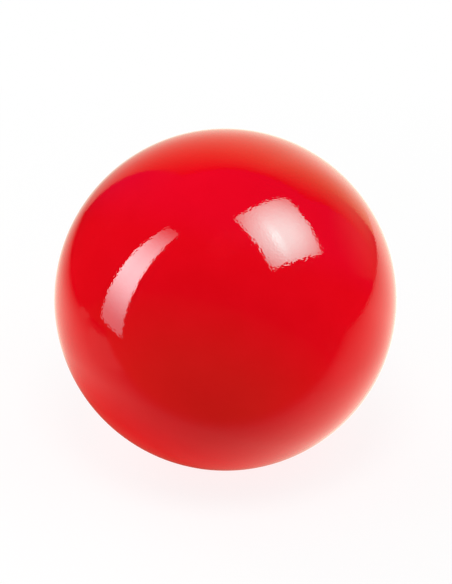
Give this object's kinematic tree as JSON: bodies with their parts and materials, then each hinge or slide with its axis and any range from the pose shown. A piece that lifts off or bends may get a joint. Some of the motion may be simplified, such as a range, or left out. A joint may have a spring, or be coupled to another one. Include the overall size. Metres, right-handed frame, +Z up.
{
  "type": "rhythmic gymnastics ball",
  "caption": "Hollow glossy rubber ball for rhythmic gymnastics, with a needle valve in its wall closed by a pull-out stopper pin.",
  "frame": {"origin": "on the floor, under the ball's centre, in the middle of the flat that its weight presses", "axes": "+Z up from the floor through the ball's centre; +Y from the centre out through the valve; +X to the right when the valve points away from the viewer"},
  "size_m": [0.19, 0.1897, 0.1894],
  "materials": {
    "shell_rubber": "polished",
    "boot_rubber": "satin",
    "core_rubber": "matte",
    "stopper_plastic": "satin"
  },
  "bodies": {
    "ball": {"ball_shell": "shell_rubber", "valve_boot": "boot_rubber", "valve_core": "core_rubber"},
    "stopper": {"valve_stopper": "stopper_plastic"}
  },
  "joints": [
    {"name": "stopper_pull", "type": "slide", "parent": "ball", "child": "stopper", "axis": [0, 1, 0], "range_m": [0, 0.013]}
  ]
}
